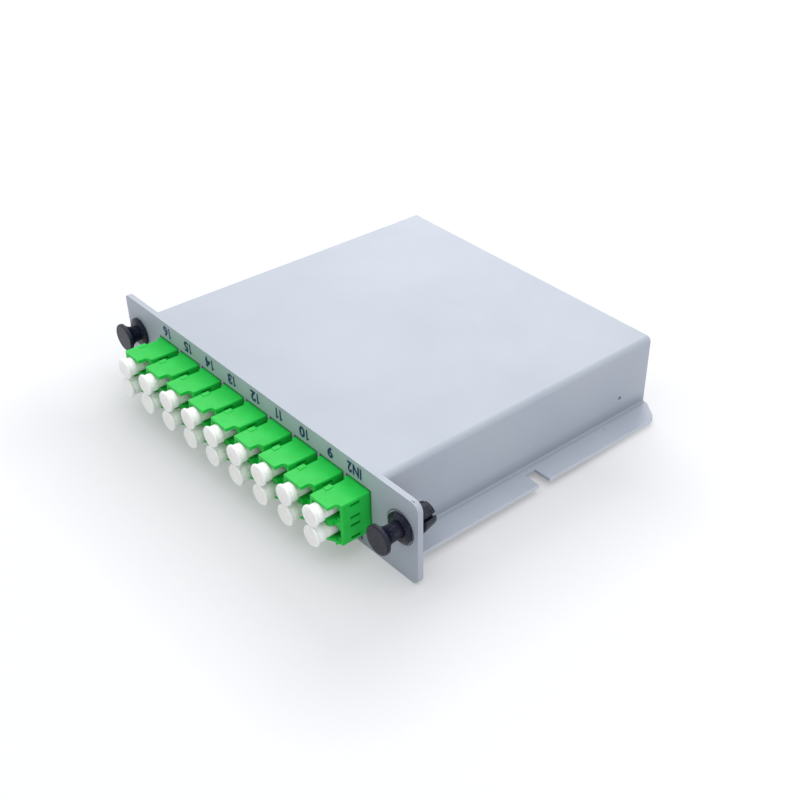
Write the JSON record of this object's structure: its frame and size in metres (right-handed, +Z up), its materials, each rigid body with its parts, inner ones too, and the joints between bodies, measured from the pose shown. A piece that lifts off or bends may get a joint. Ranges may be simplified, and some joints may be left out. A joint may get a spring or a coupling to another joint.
{
  "type": "fibre splitter box",
  "caption": "Rack-mount fibre splitter box: folded sheet body, front plate with a row of capped duplex ports and two push-pull latches.",
  "frame": {"origin": "midway between the two latch axes, on the rear (seating) face of the front plate", "axes": "+X along the front plate, +Y into the box away from the ports, +Z up as the box lies in the picture, on its lid side"},
  "size_m": [0.13, 0.1132, 0.025],
  "materials": {
    "painted_sheet": "fine matt powder coat, pale blue-grey",
    "adapter_green": "satin moulded plastic, green",
    "cap_white": "soft translucent white moulding",
    "black_nylon": "satin black nylon",
    "plug_green": "satin moulded plastic, green",
    "splitter_steel": "drawn steel tube",
    "zinc_steel": "zinc plated",
    "fibre_jacket": "white buffered fibre",
    "clip_nylon": "natural nylon"
  },
  "bodies": {
    "box": {"adapter_1": "adapter_green", "adapter_2": "adapter_green", "adapter_3": "adapter_green", "adapter_4": "adapter_green", "adapter_5": "adapter_green", "adapter_6": "adapter_green", "adapter_7": "adapter_green", "adapter_8": "adapter_green", "adapter_9": "adapter_green", "inner_plug_upper_1": "plug_green", "inner_plug_lower_1": "plug_green", "inner_plug_upper_2": "plug_green", "inner_plug_lower_2": "plug_green", "inner_plug_upper_3": "plug_green", "inner_plug_lower_3": "plug_green", "inner_plug_upper_4": "plug_green", "inner_plug_lower_4": "plug_green", "inner_plug_upper_5": "plug_green", "inner_plug_lower_5": "plug_green", "inner_plug_upper_6": "plug_green", "inner_plug_lower_6": "plug_green", "inner_plug_upper_7": "plug_green", "inner_plug_lower_7": "plug_green", "inner_plug_upper_8": "plug_green", "inner_plug_lower_8": "plug_green", "inner_plug_upper_9": "plug_green", "inner_plug_lower_9": "plug_green", "tray": "painted_sheet", "front_plate": "painted_sheet", "lid": "painted_sheet", "plate_angle": "painted_sheet", "standoffs": "zinc_steel", "lid_screws": "zinc_steel", "fibre_clips": "clip_nylon", "splitter_upper": "splitter_steel", "splitter_lower": "splitter_steel", "fibre_harness_upper": "fibre_jacket", "fibre_harness_lower": "fibre_jacket", "latch_grommet_left": "black_nylon", "latch_grommet_right": "black_nylon"},
    "latch_left": {"latch_plunger_left": "black_nylon"},
    "latch_right": {"latch_plunger_right": "black_nylon"},
    "cap_upper_1": {"dust_cap_upper_1": "cap_white"},
    "cap_lower_1": {"dust_cap_lower_1": "cap_white"},
    "cap_upper_2": {"dust_cap_upper_2": "cap_white"},
    "cap_lower_2": {"dust_cap_lower_2": "cap_white"},
    "cap_upper_3": {"dust_cap_upper_3": "cap_white"},
    "cap_lower_3": {"dust_cap_lower_3": "cap_white"},
    "cap_upper_4": {"dust_cap_upper_4": "cap_white"},
    "cap_lower_4": {"dust_cap_lower_4": "cap_white"},
    "cap_upper_5": {"dust_cap_upper_5": "cap_white"},
    "cap_lower_5": {"dust_cap_lower_5": "cap_white"},
    "cap_upper_6": {"dust_cap_upper_6": "cap_white"},
    "cap_lower_6": {"dust_cap_lower_6": "cap_white"},
    "cap_upper_7": {"dust_cap_upper_7": "cap_white"},
    "cap_lower_7": {"dust_cap_lower_7": "cap_white"},
    "cap_upper_8": {"dust_cap_upper_8": "cap_white"},
    "cap_lower_8": {"dust_cap_lower_8": "cap_white"},
    "cap_upper_9": {"dust_cap_upper_9": "cap_white"},
    "cap_lower_9": {"dust_cap_lower_9": "cap_white"}
  },
  "joints": [
    {"name": "latch_left_pull", "type": "slide", "parent": "box", "child": "latch_left", "axis": [0, -1, 0], "range_m": [0, 0.0079]},
    {"name": "latch_right_pull", "type": "slide", "parent": "box", "child": "latch_right", "axis": [0, -1, 0], "range_m": [0, 0.006]},
    {"name": "cap_upper_1_pull", "type": "slide", "parent": "box", "child": "cap_upper_1", "axis": [0, -1, 0], "range_m": [0, 0.008]},
    {"name": "cap_lower_1_pull", "type": "slide", "parent": "box", "child": "cap_lower_1", "axis": [0, -1, 0], "range_m": [0, 0.008]},
    {"name": "cap_upper_2_pull", "type": "slide", "parent": "box", "child": "cap_upper_2", "axis": [0, -1, 0], "range_m": [0, 0.008]},
    {"name": "cap_lower_2_pull", "type": "slide", "parent": "box", "child": "cap_lower_2", "axis": [0, -1, 0], "range_m": [0, 0.008]},
    {"name": "cap_upper_3_pull", "type": "slide", "parent": "box", "child": "cap_upper_3", "axis": [0, -1, 0], "range_m": [0, 0.008]},
    {"name": "cap_lower_3_pull", "type": "slide", "parent": "box", "child": "cap_lower_3", "axis": [0, -1, 0], "range_m": [0, 0.008]},
    {"name": "cap_upper_4_pull", "type": "slide", "parent": "box", "child": "cap_upper_4", "axis": [0, -1, 0], "range_m": [0, 0.008]},
    {"name": "cap_lower_4_pull", "type": "slide", "parent": "box", "child": "cap_lower_4", "axis": [0, -1, 0], "range_m": [0, 0.008]},
    {"name": "cap_upper_5_pull", "type": "slide", "parent": "box", "child": "cap_upper_5", "axis": [0, -1, 0], "range_m": [0, 0.008]},
    {"name": "cap_lower_5_pull", "type": "slide", "parent": "box", "child": "cap_lower_5", "axis": [0, -1, 0], "range_m": [0, 0.008]},
    {"name": "cap_upper_6_pull", "type": "slide", "parent": "box", "child": "cap_upper_6", "axis": [0, -1, 0], "range_m": [0, 0.008]},
    {"name": "cap_lower_6_pull", "type": "slide", "parent": "box", "child": "cap_lower_6", "axis": [0, -1, 0], "range_m": [0, 0.008]},
    {"name": "cap_upper_7_pull", "type": "slide", "parent": "box", "child": "cap_upper_7", "axis": [0, -1, 0], "range_m": [0, 0.008]},
    {"name": "cap_lower_7_pull", "type": "slide", "parent": "box", "child": "cap_lower_7", "axis": [0, -1, 0], "range_m": [0, 0.008]},
    {"name": "cap_upper_8_pull", "type": "slide", "parent": "box", "child": "cap_upper_8", "axis": [0, -1, 0], "range_m": [0, 0.008]},
    {"name": "cap_lower_8_pull", "type": "slide", "parent": "box", "child": "cap_lower_8", "axis": [0, -1, 0], "range_m": [0, 0.008]},
    {"name": "cap_upper_9_pull", "type": "slide", "parent": "box", "child": "cap_upper_9", "axis": [0, -1, 0], "range_m": [0, 0.008]},
    {"name": "cap_lower_9_pull", "type": "slide", "parent": "box", "child": "cap_lower_9", "axis": [0, -1, 0], "range_m": [0, 0.008]}
  ]
}
